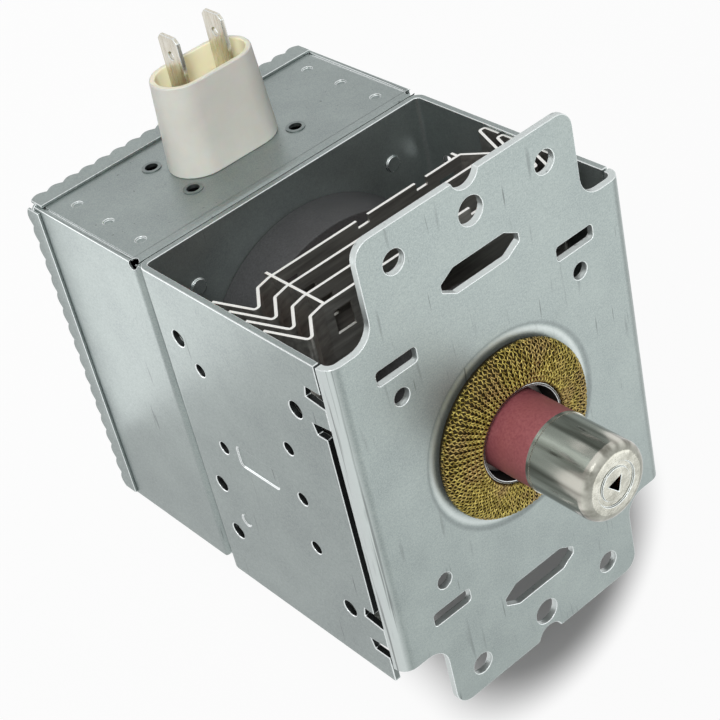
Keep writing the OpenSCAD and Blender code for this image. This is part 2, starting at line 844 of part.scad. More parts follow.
module output_pole_piece() {
    rim = output_end_z - shell_t;
    color("#77797a")
        difference() {
            rotate_extrude()
                polygon(pole_section(rim, tube_mid_z + pole_tip_h));
            translate([lead_hole_at, 0, 0])
                bar(lead_hole_d / 2, tube_mid_z, rim + cut);
        }
}

module input_pole_piece() {
    color("#77797a")
        rotate_extrude()
            polygon(pole_section(input_end_z + shell_t, tube_mid_z - pole_tip_h));
}

module anode_cylinder() {
    low = input_end_z + shell_t;
    high = output_end_z - shell_t;
    seat = pole_t + fit / 2;
    color(copper)
        difference() {
            tube(anode_d / 2, anode_d / 2 - anode_t, low, high);
            bar(pole_d / 2 + fit / 2, low - cut, low + seat);
            bar(pole_d / 2 + fit / 2, high - seat, high + cut);
        }
}

module anode_vanes() {
    tip_r = vane_bore / 2;
    root_r = sqrt(pow(anode_d / 2 - anode_t, 2) - pow(vane_t / 2, 2)) - touch;
    notch_r = strap_inner_r - strap_room;
    notch_w = strap_outer_r + strap_t - strap_inner_r + 2 * strap_room;
    color(copper)
        for (i = [0:vane_count - 1])
            rotate([0, 0, 360 * i / vane_count])
                difference() {
                    translate([tip_r, -vane_t / 2, tube_mid_z - vane_h / 2])
                        cube([root_r - tip_r, vane_t, vane_h]);
                    for (s = SIDES)
                        translate([notch_r, -vane_t, tube_mid_z + s * vane_h / 2 - strap_notch_depth])
                            cube([notch_w, 2 * vane_t, 2 * strap_notch_depth]);
                }
}

module strap_rings() {
    seat = vane_h / 2 - strap_notch_depth;
    color(copper)
        for (r = [strap_inner_r, strap_outer_r]) {
            tube(r + strap_t, r, tube_mid_z + seat, tube_mid_z + seat + strap_h);
            tube(r + strap_t, r, tube_mid_z - seat - strap_h, tube_mid_z - seat);
        }
}

// Cathode: a coiled filament between two end hats, on two leads
module filament() {
    steps = 14;
    count = filament_turns * steps;
    coil_r = (filament_d - filament_wire_d) / 2;
    coil_h = hat_gap - filament_wire_d - 2 * hat_boss_h;
    color("#6d6f73")
        wire(
            [for (i = [0:count])
                [coil_r * cos(360 * i / steps), coil_r * sin(360 * i / steps),
                 tube_mid_z + coil_h * (i / count - 0.5)]],
            filament_wire_d, 5, [1, 0, 0]);
}

module upper_end_hat() {
    color("#85868a") {
        bar(hat_d / 2, upper_hat_z, upper_hat_z + hat_t);
        bar(filament_d / 2, upper_hat_z - hat_boss_h, upper_hat_z);
    }
}

module lower_end_hat() {
    hole_r = cathode_lead_d / 2 + 0.4;
    color("#85868a") {
        tube(hat_d / 2, hole_r, lower_hat_z - hat_t, lower_hat_z);
        tube(filament_d / 2, hole_r, lower_hat_z, lower_hat_z + hat_boss_h);
    }
}

module centre_lead() {
    color("#85868a")
        bar(cathode_lead_d / 2, stem_back_z, upper_hat_z - hat_boss_h);
}

module side_lead() {
    color("#85868a")
        translate([side_lead_x, 0, 0])
            bar(cathode_lead_d / 2, stem_back_z, lower_hat_z - hat_t);
}

module stem_ceramic() {
    color("#e6dedb")
        difference() {
            bar(stem_d / 2, stem_back_z, stem_front_z);
            for (x = [0, side_lead_x])
                translate([x, 0, 0])
                    bar(cathode_lead_d / 2 + fit / 2, stem_back_z - cut, stem_front_z + cut);
        }
}

// Half plates on the back of the stem, one for each lead
module stem_terminal(s) {
    split = side_lead_x / 2;
    color(tinned)
        intersection() {
            bar(stem_d / 2 - 1, stem_back_z - terminal_t, stem_back_z);
            translate([s > 0 ? split + terminal_split / 4 : split - terminal_split / 4 - stem_d,
                       -stem_d / 2, stem_back_z - stem_h])
                cube([stem_d, stem_d, 2 * stem_h]);
        }
}

module stem_terminal_left() {
    stem_terminal(-1);
}

module stem_terminal_right() {
    stem_terminal(1);
}

// One bent end of a fin, from its corner to the wall; a curled end turns back up along the wall
function fin_end(curled) =
    let (
        wall_x = wall_in_x - fin_t / 2 - fit,
        foot_x = wall_x - (curled ? fin_curl : 0),
        corner = [fin_corner(curled), 0],
        step = [3.3, 0.8],
        crest = [foot_x - fin_fall, fin_rise],
        crest_flat = [1, 0.2]
    )
    concat(
        curled ? [corner] : [corner, corner + step],
        [crest - crest_flat, crest, [foot_x, -fin_drop]],
        curled ? [[wall_x, -fin_drop], [wall_x, fin_curl_h - fin_drop]] : []);

// Distance of a bent end's corner from the axis
function fin_corner(curled) = wall_in_x - (curled ? fin_curled_w : fin_end_w);

// A polyline with each bend rounded to radius r
function softened(p, r, n = 3) =
    let (last = len(p) - 1)
    concat([p[0]], [for (i = [1:last - 1]) each round_corner(p[i - 1], p[i], p[i + 1], r, n)], [p[last]]);

// Outline of a strip of thickness t along a polyline, offset to both sides
function strip(p, t) =
    let (
        last = len(p) - 1,
        normal = [for (i = [0:last - 1]) let (u = unit(p[i + 1] - p[i])) [-u.y, u.x]],
        side = [for (i = [0:last])
            let (a = normal[max(i - 1, 0)], b = normal[min(i, last - 1)], m = unit(a + b))
            m * t / 2 / (m * a)]
    )
    concat([for (i = [0:last]) p[i] + side[i]], [for (i = [last:-1:0]) p[i] - side[i]]);

function fin_section() =
    let (left = fin_end(false), right = fin_end(true), count = len(left))
    strip(softened(concat([for (i = [count - 1:-1:0]) [-left[i].x, left[i].y]], right), fin_bend_r), fin_t);

// Cooling fin: flat middle on the anode, both ends bent up and back down against the side walls.
// Each fin stands on the one behind it with spacers at two opposite corners. Those of the first
// are trimmed short, and it has a third.
module fin(index) {
    bore_r = anode_d / 2 + fit / 2;
    window_in = 4;
    window_y = fin_len / 2 - 5;
    trimmed_h = 1.8;
    spacer_h = index > 0 ? fin_pitch - fin_t / 2 : trimmed_h;
    spacer_len = 2.6;
    spaced = [[-1, 1], [1, -1]];
    notch_x = [-0.7, 14.1];
    color("#c3c6c8")
        translate([0, 0, input_end_z + fin_lift + index * fin_pitch])
            difference() {
                union() {
                    along_y(-fin_len / 2, fin_len / 2)
                        polygon(fin_section());
                    bar(bore_r + fin_t, 0, fin_collar_h);
                    for (c = index > 0 ? spaced : concat(spaced, [[1, 1]]))
                        translate([c.x * (fin_corner(c.x > 0) - fin_t) - fin_t / 2,
                                   c.y * (fin_len - spacer_len) / 2 - spacer_len / 2, -spacer_h])
                            cube([fin_t, spacer_len, spacer_h]);
                }
                bar(bore_r, -fin_pitch, fin_pitch);
                for (c = CORNERS)
                    translate([c.x * (fin_corner(c.x > 0) - window_in) - fin_window_w / 2,
                               c.y * window_y - fin_window_len / 2, -fin_t])
                        cube([fin_window_w, fin_window_len, 2 * fin_t]);
                for (s = SIDES, x = notch_x)
                    translate([s * x - fin_notch_w / 2,
                               s > 0 ? fin_len / 2 - fin_notch_depth : -fin_len / 2 - cut, -fin_t])
                        cube([fin_notch_w, fin_notch_depth + cut, 2 * fin_t]);
            }
}

module cooling_fin_1() {
    fin(0);
}

module cooling_fin_2() {
    fin(1);
}

module cooling_fin_3() {
    fin(2);
}

module cooling_fin_4() {
    fin(3);
}

// A prism along Y with a slot-shaped section, at the connector
module connector_prism(w, d, y0, y1) {
    translate([0, y0, connector_z])
        rotate([-90, 0, 0])
            linear_extrude(y1 - y0)
                polygon(slot(w, d));
}

// Holes for the two through rods
module rod_holes(y0, y1) {
    for (s = SIDES)
        bar_y(s * blade_x, connector_z, rod_d / 2 + fit / 2, y0, y1);
}

// Connector: a tapered hood on the case, with a spigot through the case and the capacitor plate
module connector_housing() {
    inner_w = hood_w - 2 * hood_t;
    inner_d = hood_d - 2 * hood_t;
    color(ivory)
        difference() {
            union() {
                translate([0, case_top_y, connector_z])
                    rotate([-90, 0, 0])
                        linear_extrude(hood_h, scale = hood_taper)
                            polygon(slot(hood_w, hood_d));
                connector_prism(spigot_w, spigot_d, capacitor_top_y, case_top_y + cut);
            }
            connector_prism(inner_w * hood_taper, inner_d * hood_taper, hood_floor_y, hood_rim_y + cut);
            rod_holes(capacitor_top_y - cut, hood_floor_y + cut);
        }
}

// Blade terminal with a chamfered tip and a detent hole
module blade(s) {
    tip = 1;
    hole_d = 1.8;
    hole_below = 4.2;
    half = blade_w / 2;
    color(tinned)
        translate([s * blade_x, 0, connector_z])
            difference() {
                along_x(-blade_t / 2, blade_t / 2)
                    polygon([
                        [hood_floor_y, -half], [hood_floor_y, half],
                        [blade_tip_y - tip, half], [blade_tip_y, half - tip],
                        [blade_tip_y, tip - half], [blade_tip_y - tip, -half]]);
                translate([-blade_w / 2, blade_tip_y - hole_below, 0])
                    rotate([0, 90, 0])
                        cylinder(h = blade_w, d = hole_d);
            }
}

module blade_left() {
    blade(-1);
}

module blade_right() {
    blade(1);
}

module through_rod(s) {
    color(tinned)
        bar_y(s * blade_x, connector_z, rod_d / 2, rod_low_y, hood_floor_y);
}

module through_rod_left() {
    through_rod(-1);
}

module through_rod_right() {
    through_rod(1);
}

// Feed-through capacitor on its riveted plate, inside the case
module capacitor_body() {
    color("#a5764c")
        difference() {
            connector_prism(capacitor_w, capacitor_d, capacitor_top_y - capacitor_h, capacitor_top_y);
            rod_holes(capacitor_top_y - capacitor_h - cut, capacitor_top_y + cut);
        }
}

module capacitor_plate() {
    margin = 6;
    color(steel)
        difference() {
            translate([0, capacitor_top_y, connector_z])
                rotate([-90, 0, 0])
                    linear_extrude(plate_thick)
                        polygon(rounded_box(rivet_pitch_x + margin, rivet_pitch_z + margin, margin / 3));
            connector_prism(spigot_w + 2 * fit, spigot_d + 2 * fit, capacitor_top_y - cut, case_in_y + cut);
            for (c = CORNERS)
                bar_y(c.x * rivet_pitch_x / 2, connector_z + c.y * rivet_pitch_z / 2, rivet_d / 2 + fit / 2,
                      capacitor_top_y - cut, case_in_y + cut);
        }
}

module capacitor_rivets() {
    head_d = rivet_d + 0.8;
    head_t = 0.2;
    color("#8f9694")
        for (c = CORNERS)
            translate([c.x * rivet_pitch_x / 2, 0, connector_z + c.y * rivet_pitch_z / 2])
                rotate([-90, 0, 0]) {
                    tube(rivet_d / 2, rivet_bore / 2, capacitor_top_y - head_t, case_top_y + head_t);
                    tube(head_d / 2, rivet_bore / 2, case_top_y, case_top_y + head_t);
                    tube(head_d / 2, rivet_bore / 2, capacitor_top_y - head_t, capacitor_top_y);
                }
}

module capacitor_cup() {
    inner_w = capacitor_w + 2 * fit;
    inner_d = capacitor_d + 2 * fit;
    color("#2f3033")
        difference() {
            connector_prism(inner_w + 2 * cup_t, inner_d + 2 * cup_t, cup_low_y, capacitor_top_y);
            connector_prism(inner_w, inner_d, cup_low_y + cup_t, capacitor_top_y + cut);
            rod_holes(cup_low_y - cut, cup_low_y + 2 * cup_t);
        }
}

// Choke coil: one wire from a through rod, round its ferrite rod, and back to a stem terminal
function choke_path(s) =
    let (
        steps = 14,
        count = choke_turns * steps,
        inner = choke_x - choke_r,
        end_z = stem_back_z - terminal_t - choke_wire_d / 2 - touch
    )
    concat(
        [[s * blade_x, rod_low_y, choke_z],
         [s * blade_x, rod_low_y - 0.8, choke_z],
         [s * (inner - 1.2), choke_top_y + 1.4, choke_z],
         [s * (inner - 0.2), choke_top_y + 0.7, choke_z - 0.1]],
        [for (i = [0:count])
            let (a = 180 + 360 * i / steps, y = choke_top_y - choke_len * i / count)
            [s * (choke_x + choke_r * cos(a)), y, choke_z + choke_r * sin(a)]],
        [[s * (inner - 0.3), choke_low_y - 0.8, choke_z - 0.6],
         [s * (inner - 1.6), choke_low_y + 0.2, choke_z - 0.9],
         [s * (inner - 3), choke_low_y + 4, choke_z + 0.4],
         [s * stem_d / 3.6, -3, end_z],
         [s * stem_d / 4, 1, end_z]]);

module choke_coil(s) {
    color(copper)
        wire(choke_path(s), choke_wire_d, 6, [0, 0, 1]);
}

module choke_coil_left() {
    choke_coil(-1);
}

module choke_coil_right() {
    choke_coil(1);
}

module ferrite_rod(s) {
    half = ferrite_len / 2;
    color(ferrite)
        bar_y(s * choke_x, choke_z, ferrite_d / 2, choke_mid_y - half, choke_mid_y + half);
}

module ferrite_rod_left() {
    ferrite_rod(-1);
}

module ferrite_rod_right() {
    ferrite_rod(1);
}

front_plate();
yoke_frame();
filter_case();
filter_cover();
gasket_ring();
output_ceramic();
antenna_cap();
exhaust_seal();
exhaust_tube();
antenna_lead();
output_seal_shell();
input_seal_shell();
output_magnet();
input_magnet();
output_pole_piece();
input_pole_piece();
anode_cylinder();
anode_vanes();
strap_rings();
filament();
upper_end_hat();
lower_end_hat();
centre_lead();
side_lead();
stem_ceramic();
stem_terminal_left();
stem_terminal_right();
cooling_fin_1();
cooling_fin_2();
cooling_fin_3();
cooling_fin_4();
connector_housing();
blade_left();
blade_right();
through_rod_left();
through_rod_right();
capacitor_body();
capacitor_plate();
capacitor_rivets();
capacitor_cup();
choke_coil_left();
choke_coil_right();
ferrite_rod_left();
ferrite_rod_right();
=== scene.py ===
"""Looks of an oven magnetron: finishes for the CAD solids, a knitted gasket, and a plain pale studio."""

import json
import math

import bpy
import numpy as np
from mathutils import Matrix, Vector

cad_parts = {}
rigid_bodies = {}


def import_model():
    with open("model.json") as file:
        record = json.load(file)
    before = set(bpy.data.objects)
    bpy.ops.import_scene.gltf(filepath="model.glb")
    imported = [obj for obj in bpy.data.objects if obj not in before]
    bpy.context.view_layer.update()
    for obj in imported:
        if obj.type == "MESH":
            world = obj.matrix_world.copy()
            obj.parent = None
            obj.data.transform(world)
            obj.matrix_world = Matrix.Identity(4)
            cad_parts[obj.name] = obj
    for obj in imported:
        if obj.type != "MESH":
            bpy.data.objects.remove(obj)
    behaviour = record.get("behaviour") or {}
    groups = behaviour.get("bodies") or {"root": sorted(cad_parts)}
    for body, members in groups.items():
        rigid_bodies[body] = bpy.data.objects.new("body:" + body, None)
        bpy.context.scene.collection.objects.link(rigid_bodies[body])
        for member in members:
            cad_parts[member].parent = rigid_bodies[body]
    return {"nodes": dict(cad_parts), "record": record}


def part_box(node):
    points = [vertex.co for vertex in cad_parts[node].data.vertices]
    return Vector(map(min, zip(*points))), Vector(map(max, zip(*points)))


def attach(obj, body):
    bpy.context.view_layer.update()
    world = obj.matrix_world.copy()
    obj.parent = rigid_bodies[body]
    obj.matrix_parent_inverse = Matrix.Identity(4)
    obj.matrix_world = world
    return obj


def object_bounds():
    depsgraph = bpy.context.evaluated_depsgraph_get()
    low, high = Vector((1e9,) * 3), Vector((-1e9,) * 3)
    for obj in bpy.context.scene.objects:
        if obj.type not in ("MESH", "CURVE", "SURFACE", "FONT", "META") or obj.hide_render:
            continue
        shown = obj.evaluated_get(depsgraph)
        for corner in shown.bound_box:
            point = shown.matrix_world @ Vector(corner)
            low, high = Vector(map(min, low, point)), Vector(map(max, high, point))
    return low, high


MM = 0.001
for start_object in list(bpy.data.objects):
    bpy.data.objects.remove(start_object)
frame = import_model()
cad_low, cad_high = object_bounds()
nodes = frame["nodes"]


# Camera of the photograph, in the frame's own axes
IMAGE_SIZE = 720
FOCAL_PX = 1894.84
SENSOR = 36.0
CAMERA_AT = Vector((-166.3, 222.02, 215.21)) * MM
CAMERA_RIGHT = Vector((0.7423, -0.1925, 0.6418))
CAMERA_DOWN = Vector((-0.5104, -0.7830, 0.3556))
CAMERA_CLIP = (0.01, 20)


def srgb(r, g, b):
    """A display colour, 0 to 255, as a linear one."""
    def linear(c):
        c /= 255
        return c / 12.92 if c <= 0.04045 else ((c + 0.055) / 1.055) ** 2.4
    return (linear(r), linear(g), linear(b), 1.0)


class Finish:
    """A material with one Principled shader, and short ways to add texture nodes in millimetres."""

    def __init__(self, name, **values):
        self.material = bpy.data.materials.new(name)
        self.material.use_nodes = True
        self.tree = self.material.node_tree
        self.tree.nodes.clear()
        self.output = self.tree.nodes.new("ShaderNodeOutputMaterial")
        self.shader = self.tree.nodes.new("ShaderNodeBsdfPrincipled")
        self.tree.links.new(self.shader.outputs[0], self.output.inputs["Surface"])
        self.set(**values)

    def set(self, **values):
        """Sets shader sockets, named with underscores, to values or to other nodes' outputs."""
        for name, value in values.items():
            self.plug(self.shader.inputs[name.replace("_", " ")], value)

    def plug(self, socket, value):
        """Links another node's output to a socket, or sets the socket's own value."""
        if isinstance(value, bpy.types.NodeSocket):
            self.tree.links.new(value, socket)
        else:
            socket.default_value = value

    def add(self, kind, inputs=(), **settings):
        """A new shader node with its settings and inputs."""
        node = self.tree.nodes.new("ShaderNode" + kind)
        for name, value in settings.items():
            setattr(node, name, value)
        for key, value in dict(inputs).items():
            self.plug(node.inputs[key], value)
        return node

    def place(self, stretch=(1, 1, 1)):
        """The point on the object in millimetres, with each axis divided by its stretch."""
        where = self.add("TexCoord").outputs["Object"]
        scale = [1 / MM / s for s in stretch]
        return self.add("VectorMath", {0: where, 1: scale}, operation="MULTIPLY").outputs[0]

    def axis(self, vector, name):
        """One part of a vector: X, Y or Z."""
        return self.add("SeparateXYZ", {0: vector}).outputs[name]

    def noise(self, size, stretch=(1, 1, 1), detail=3.0, rough=0.55):
        """Noise about 0.5, with features of the given size in millimetres."""
        inputs = {"Vector": self.place(stretch), "Scale": 1 / size, "Detail": detail, "Roughness": rough}
        return self.add("TexNoise", inputs).outputs["Fac"]

    def span(self, value, low, high, to_low=0.0, to_high=1.0, shape="LINEAR"):
        """The value's range low to high, mapped to another range."""
        inputs = {0: value, 1: low, 2: high, 3: to_low, 4: to_high}
        return self.add("MapRange", inputs, clamp=True, interpolation_type=shape).outputs[0]

    def math(self, operation, a, b=0.0):
        """One sum on two values."""
        return self.add("Math", {0: a, 1: b}, operation=operation).outputs[0]

    def mix(self, factor, a, b):
        """Colour a, going over to colour b as the factor rises."""
        return self.add("Mix", {0: factor, 6: a, 7: b}, data_type="RGBA").outputs[2]

    def bump(self, height, depth, strength=1.0):
        """Bump of the given depth in millimetres."""
        inputs = {"Height": height, "Distance": depth * MM, "Strength": strength}
        self.set(Normal=self.add("Bump", inputs).outputs[0])


# The part of a noise's range that holds nearly all of its values
MOTTLE = (0.3, 0.7)
# Bright zinc of the painted highlights on the front plate
ZINC_HIGHLIGHT = srgb(214, 220, 219)
# Radii on the front plate in millimetres, each from no effect to the full one: where the collar's painted shade
# ends, and the painted highlight and painted shade of the gasket seat's rim and fold
OUTSIDE_COLLAR = (12, 13)
SEAT_RIM_INNER, SEAT_RIM_OUTER = (18.4, 19.2), (20.2, 19.6)
SEAT_FOLD_INNER, SEAT_FOLD_OUTER = (20.0, 20.5), (21.3, 20.7)
# Distances from the box of the node with painted hole shade, in millimetres, each from no effect to the full one
IN_SIDE_WALL = (2.0, 1.6)
CLEAR_OF_EDGE = (0.4, 0.6)
CLEAR_OF_BACK_BEND = (4.0, 5.0)
# Depth under the top of a rivet at which its bore is painted dark as shade, and its flange plain
RIVET_BORE, RIVET_FLANGE = 0.9, 0.7


def galvanised_steel(name, wear_and_painted_light=False, hole_shade_node=None):
    """Zinc-coated sheet: cool grey with soft clouds, a fine grain and a few dark scratches.

    With wear and painted light, the plate gets painted highlights on its cut edges, hole walls and bends and on the
    rim of the gasket's seat, painted shade in its collar and on the seat's fold, and rub marks along its bends. The
    node given for hole shade gets painted shade on the cut faces inside its side walls' holes and notches."""
    f = Finish(name, Metallic=0.85)
    cloud = f.span(f.noise(11), *MOTTLE)
    speck = f.span(f.noise(0.7, detail=2.0), *MOTTLE)
    grain = f.noise(0.3, detail=1.0)
    scratch = f.span(f.noise(0.9, stretch=(1, 16, 1), detail=1.0), 0.74, 0.8, 0, 0.6)
    colour = f.mix(cloud, srgb(139, 148, 147), srgb(156, 165, 163))
    colour = f.mix(f.span(speck, 0, 1, 0, 0.25), colour, srgb(126, 135, 135))
    colour = f.mix(f.span(grain, 0.35, 0.7, 0, 0.3), colour, srgb(186, 193, 191))
    if wear_and_painted_light:
        facing = f.math("ABSOLUTE", f.axis(f.add("NewGeometry").outputs["Normal"], "Z"))
        flat = f.add("VectorMath", {0: f.place(), 1: (1, 1, 0)}, operation="MULTIPLY").outputs[0]
        radius = f.add("VectorMath", {0: flat}, operation="LENGTH").outputs["Value"]
        # Painted shade: inside the collar, under 12 mm radius, the plate is painted dark
        outside = f.span(radius, *OUTSIDE_COLLAR)
        # Painted highlight: outside the collar, faces turned away from Z (cut edges, hole walls and bends) are
        # painted bright
        plate_edge_highlight = f.math("MULTIPLY", outside, f.span(facing, 0.96, 0.75, 0, 0.8))
        colour = f.mix(plate_edge_highlight, f.mix(outside, srgb(74, 70, 68), colour), ZINC_HIGHLIGHT)
        # Painted highlight on the rim of the gasket's seat, and painted shade on its fold, in place of the shading
        # of the seat's slope
        rim = f.math("MULTIPLY", f.span(radius, *SEAT_RIM_INNER, 0, 0.5), f.span(radius, *SEAT_RIM_OUTER))
        colour = f.mix(rim, colour, ZINC_HIGHLIGHT)
        fold = f.math("MULTIPLY", f.span(radius, *SEAT_FOLD_INNER, 0, 0.36), f.span(radius, *SEAT_FOLD_OUTER))
        colour = f.mix(fold, colour, srgb(92, 98, 100))
        smear = f.span(f.noise(1.7, stretch=(1, 9, 1), detail=1.0), 0.68, 0.82, 0, 0.5)
        colour = f.mix(smear, colour, srgb(96, 101, 101))
        bend = f.math("MULTIPLY", f.span(facing, 0.96, 0.8), f.span(facing, 0.05, 0.2))
        rubbed = f.span(f.noise(0.6, stretch=(1, 60, 1), detail=2.0), 0.57, 0.66, 0, 0.6)
        scratch = f.math("MAXIMUM", scratch, f.math("MULTIPLY", rubbed, bend))
    if hole_shade_node:
        # Painted shade: cut faces inside the side walls' holes and notches are painted dark
        colour = f.mix(hole_shade_share(f, hole_shade_node), colour, srgb(52, 55, 55))
    f.set(Base_Color=f.mix(scratch, colour, srgb(78, 82, 82)))
    f.set(Roughness=f.span(f.math("ADD", cloud, speck), 0, 2, 0.36, 0.46))
    f.bump(grain, 0.02, 0.5)
    return f.material


def hole_shade_share(f, node):
    """Share of the cut faces inside a node's side walls, away from the walls' own edges, that is painted dark as
    shade.
    """
    low, high = (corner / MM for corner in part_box(node))
    where = f.place()
    x, y, z = (f.axis(where, name) for name in "XYZ")
    limits = (
        (f.math("ABSOLUTE", x), [high.x - d for d in IN_SIDE_WALL]),
        (y, [low.y + d for d in CLEAR_OF_EDGE]),
        (y, [high.y - d for d in CLEAR_OF_EDGE]),
        (z, [low.z + d for d in CLEAR_OF_BACK_BEND]),
        (z, [high.z - d for d in CLEAR_OF_EDGE]),
    )
    sideways = f.math("ABSOLUTE", f.axis(f.add("NewGeometry").outputs["Normal"], "X"))
    share = f.span(sideways, 0.3, 0.6, 1, 0)
    for value, ends in limits:
        share = f.math("MULTIPLY", share, f.span(value, *ends))
    return share


def plated_rivet(top):
    """Tubular rivets with their top at a height in millimetres: plated on the flange, with painted shade down the
    bore.
    """
    f = Finish("plated_rivet", Metallic=1.0)
    mottle = f.span(f.noise(1.6), *MOTTLE)
    flange = f.mix(mottle, srgb(122, 130, 130), srgb(148, 156, 154))
    # Painted shade: the bore is painted near black
    bore = f.mix(mottle, srgb(28, 28, 29), srgb(48, 48, 49))
    height = f.axis(f.place(), "Y")
    f.set(Base_Color=f.mix(f.span(height, top - RIVET_BORE, top - RIVET_FLANGE), bore, flange))
    f.set(Roughness=f.span(mottle, 0, 1, 0.4, 0.5))
    f.bump(f.noise(0.3), 0.02, 0.4)
    return f.material


def sheet_edge_highlight():
    """Cut sheet edges, painted near white as a highlight."""
    f = Finish("sheet_edge_highlight", Metallic=1.0)
    worn = f.noise(0.9)
    f.set(Base_Color=f.mix(worn, srgb(205, 211, 211), srgb(242, 245, 245)))
    f.set(Roughness=f.span(worn, *MOTTLE, 0.2, 0.34))
    return f.material


def stainless_steel():
    """Drawn cap: warm satin steel with broad dull and bright bands, faint draw lines and a brighter end."""
    f = Finish("stainless_steel", Metallic=1.0)
    band = f.span(f.noise(2.6, stretch=(1, 1, 16), detail=1.0), 0.36, 0.64, shape="SMOOTHSTEP")
    drawn = f.span(f.noise(0.5, stretch=(1, 1, 14)), *MOTTLE)
    facing = f.math("ABSOLUTE", f.axis(f.add("NewGeometry").outputs["Normal"], "Z"))
    colour = f.mix(band, srgb(112, 110, 101), srgb(206, 204, 194))
    colour = f.mix(f.span(drawn, 0, 1, 0, 0.22), colour, srgb(206, 204, 196))
    end = f.mix(f.span(f.noise(1.8), 0.35, 0.65), srgb(138, 137, 128), srgb(172, 171, 162))
    f.set(Base_Color=f.mix(f.span(facing, 0.5, 0.95, 0, 0.85), colour, end))
    f.set(Roughness=f.span(f.math("ADD", band, drawn), 0, 2, 0.1, 0.2))
    f.bump(drawn, 0.01, 0.3)
    return f.material


def dull_metal(name, dark, light, rough):
    """Plain metal with soft mottling and a fine grain."""
    f = Finish(name, Metallic=1.0)
    mottle = f.span(f.noise(1.6), *MOTTLE)
    f.set(Base_Color=f.mix(mottle, dark, light), Roughness=f.span(mottle, 0, 1, rough, rough + 0.14))
    f.bump(f.noise(0.3), 0.02, 0.4)
    return f.material


def brass_wire():
    """Knitted gasket wire: brass gone a little dark, with duller and redder stretches."""
    f = Finish("brass_wire", Metallic=1.0)
    patch = f.span(f.noise(1.1), 0.35, 0.65)
    colour = f.mix(patch, srgb(118, 102, 44), srgb(204, 186, 106))
    f.set(Base_Color=f.mix(f.span(f.noise(5.0), 0.45, 0.65, 0, 0.5), colour, srgb(166, 136, 100)))
    f.set(Roughness=f.span(patch, 0, 1, 0.2, 0.34))
    return f.material


def gasket_core():
    """Packed wire deep in the gasket, in shadow."""
    f = Finish("gasket_core", Metallic=0.8)
    packed = f.noise(0.5)
    f.set(Base_Color=f.mix(packed, srgb(24, 20, 9), srgb(66, 54, 24)), Roughness=0.6)
    f.bump(packed, 0.2)
    return f.material


def fin_aluminium():
    """Rolled fin sheet, dull on its faces and bright where it was sheared."""
    f = Finish("fin_aluminium")
    normal = f.add("NewGeometry").outputs["Normal"]
    sheared = f.span(f.math("ABSOLUTE", f.axis(normal, "Y")), 0.5, 0.8)
    rolled = f.span(f.noise(0.8, stretch=(12, 1, 1)), *MOTTLE)
    face = f.mix(rolled, srgb(136, 134, 129), srgb(172, 170, 165))
    f.set(Base_Color=f.mix(sheared, face, srgb(240, 240, 236)), Metallic=0.85)
    f.set(Roughness=f.span(rolled, 0, 1, 0.3, 0.44))
    f.bump(rolled, 0.02, 0.3)
    return f.material


def fired_ceramic(name, dark, light, rough, grain_mm):
    """A matte body with fine grain and soft blotches."""
    f = Finish(name)
    grain = f.noise(grain_mm)
    blotch = f.span(f.noise(3.5), *MOTTLE)
    colour = f.mix(f.span(grain, *MOTTLE), dark, light)
    f.set(Base_Color=f.mix(f.span(blotch, 0, 1, 0, 0.3), colour, dark))
    f.set(Roughness=f.span(grain, *MOTTLE, rough, rough + 0.15))
    f.bump(grain, 0.03, 0.4)
    return f.material


def ivory_plastic(hood_middle):
    """Moulded ivory hood, yellower inside, with the light passing a little way into it."""
    f = Finish("ivory_plastic", Subsurface_Weight=0.25, Subsurface_Scale=1.5 * MM)
    where = f.add("VectorMath", {0: f.place(), 1: hood_middle}, operation="SUBTRACT").outputs[0]
    normal = f.add("NewGeometry").outputs["Normal"]
    across = f.add("VectorMath", {0: where, 1: (1, 0, 1)}, operation="MULTIPLY").outputs[0]
    facing = f.add("VectorMath", {0: across, 1: normal}, operation="DOT_PRODUCT").outputs["Value"]
    inside = f.span(facing, -0.5, 0.5, 1, 0)
    cloud = f.noise(5)
    outer = f.mix(cloud, srgb(212, 211, 202), srgb(226, 225, 217))
    f.set(Base_Color=f.mix(inside, outer, srgb(253, 247, 214)))
    f.set(Roughness=f.span(cloud, *MOTTLE, 0.34, 0.46))
    f.bump(f.noise(0.4), 0.015, 0.4)
    return f.material


def moulded_plastic(name, dark, light):
    """Plain moulded plastic with soft clouds and a fine grain."""
    f = Finish(name)
    cloud = f.noise(2.5)
    f.set(Base_Color=f.mix(cloud, dark, light), Roughness=f.span(cloud, *MOTTLE, 0.4, 0.55))
    f.bump(f.noise(0.4), 0.02, 0.4)
    return f.material


def tinned_brass():
    """Tin-coated terminals: warm grey with marks along the blade."""
    f = Finish("tinned_brass", Metallic=1.0)
    drawn = f.span(f.noise(0.5, stretch=(1, 10, 1)), *MOTTLE)
    patch = f.span(f.noise(2.0), 0.35, 0.7)
    colour = f.mix(drawn, srgb(196, 191, 178), srgb(234, 231, 222))
    f.set(Base_Color=f.mix(f.span(patch, 0, 1, 0, 0.25), colour, srgb(200, 188, 156)))
    f.set(Roughness=f.span(drawn, 0, 1, 0.24, 0.36))
    f.bump(drawn, 0.01, 0.3)
    return f.material


def middle_mm(node):
    """Middle of a node's box in millimetres."""
    low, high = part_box(node)
    return tuple((low + high) / 2 / MM)


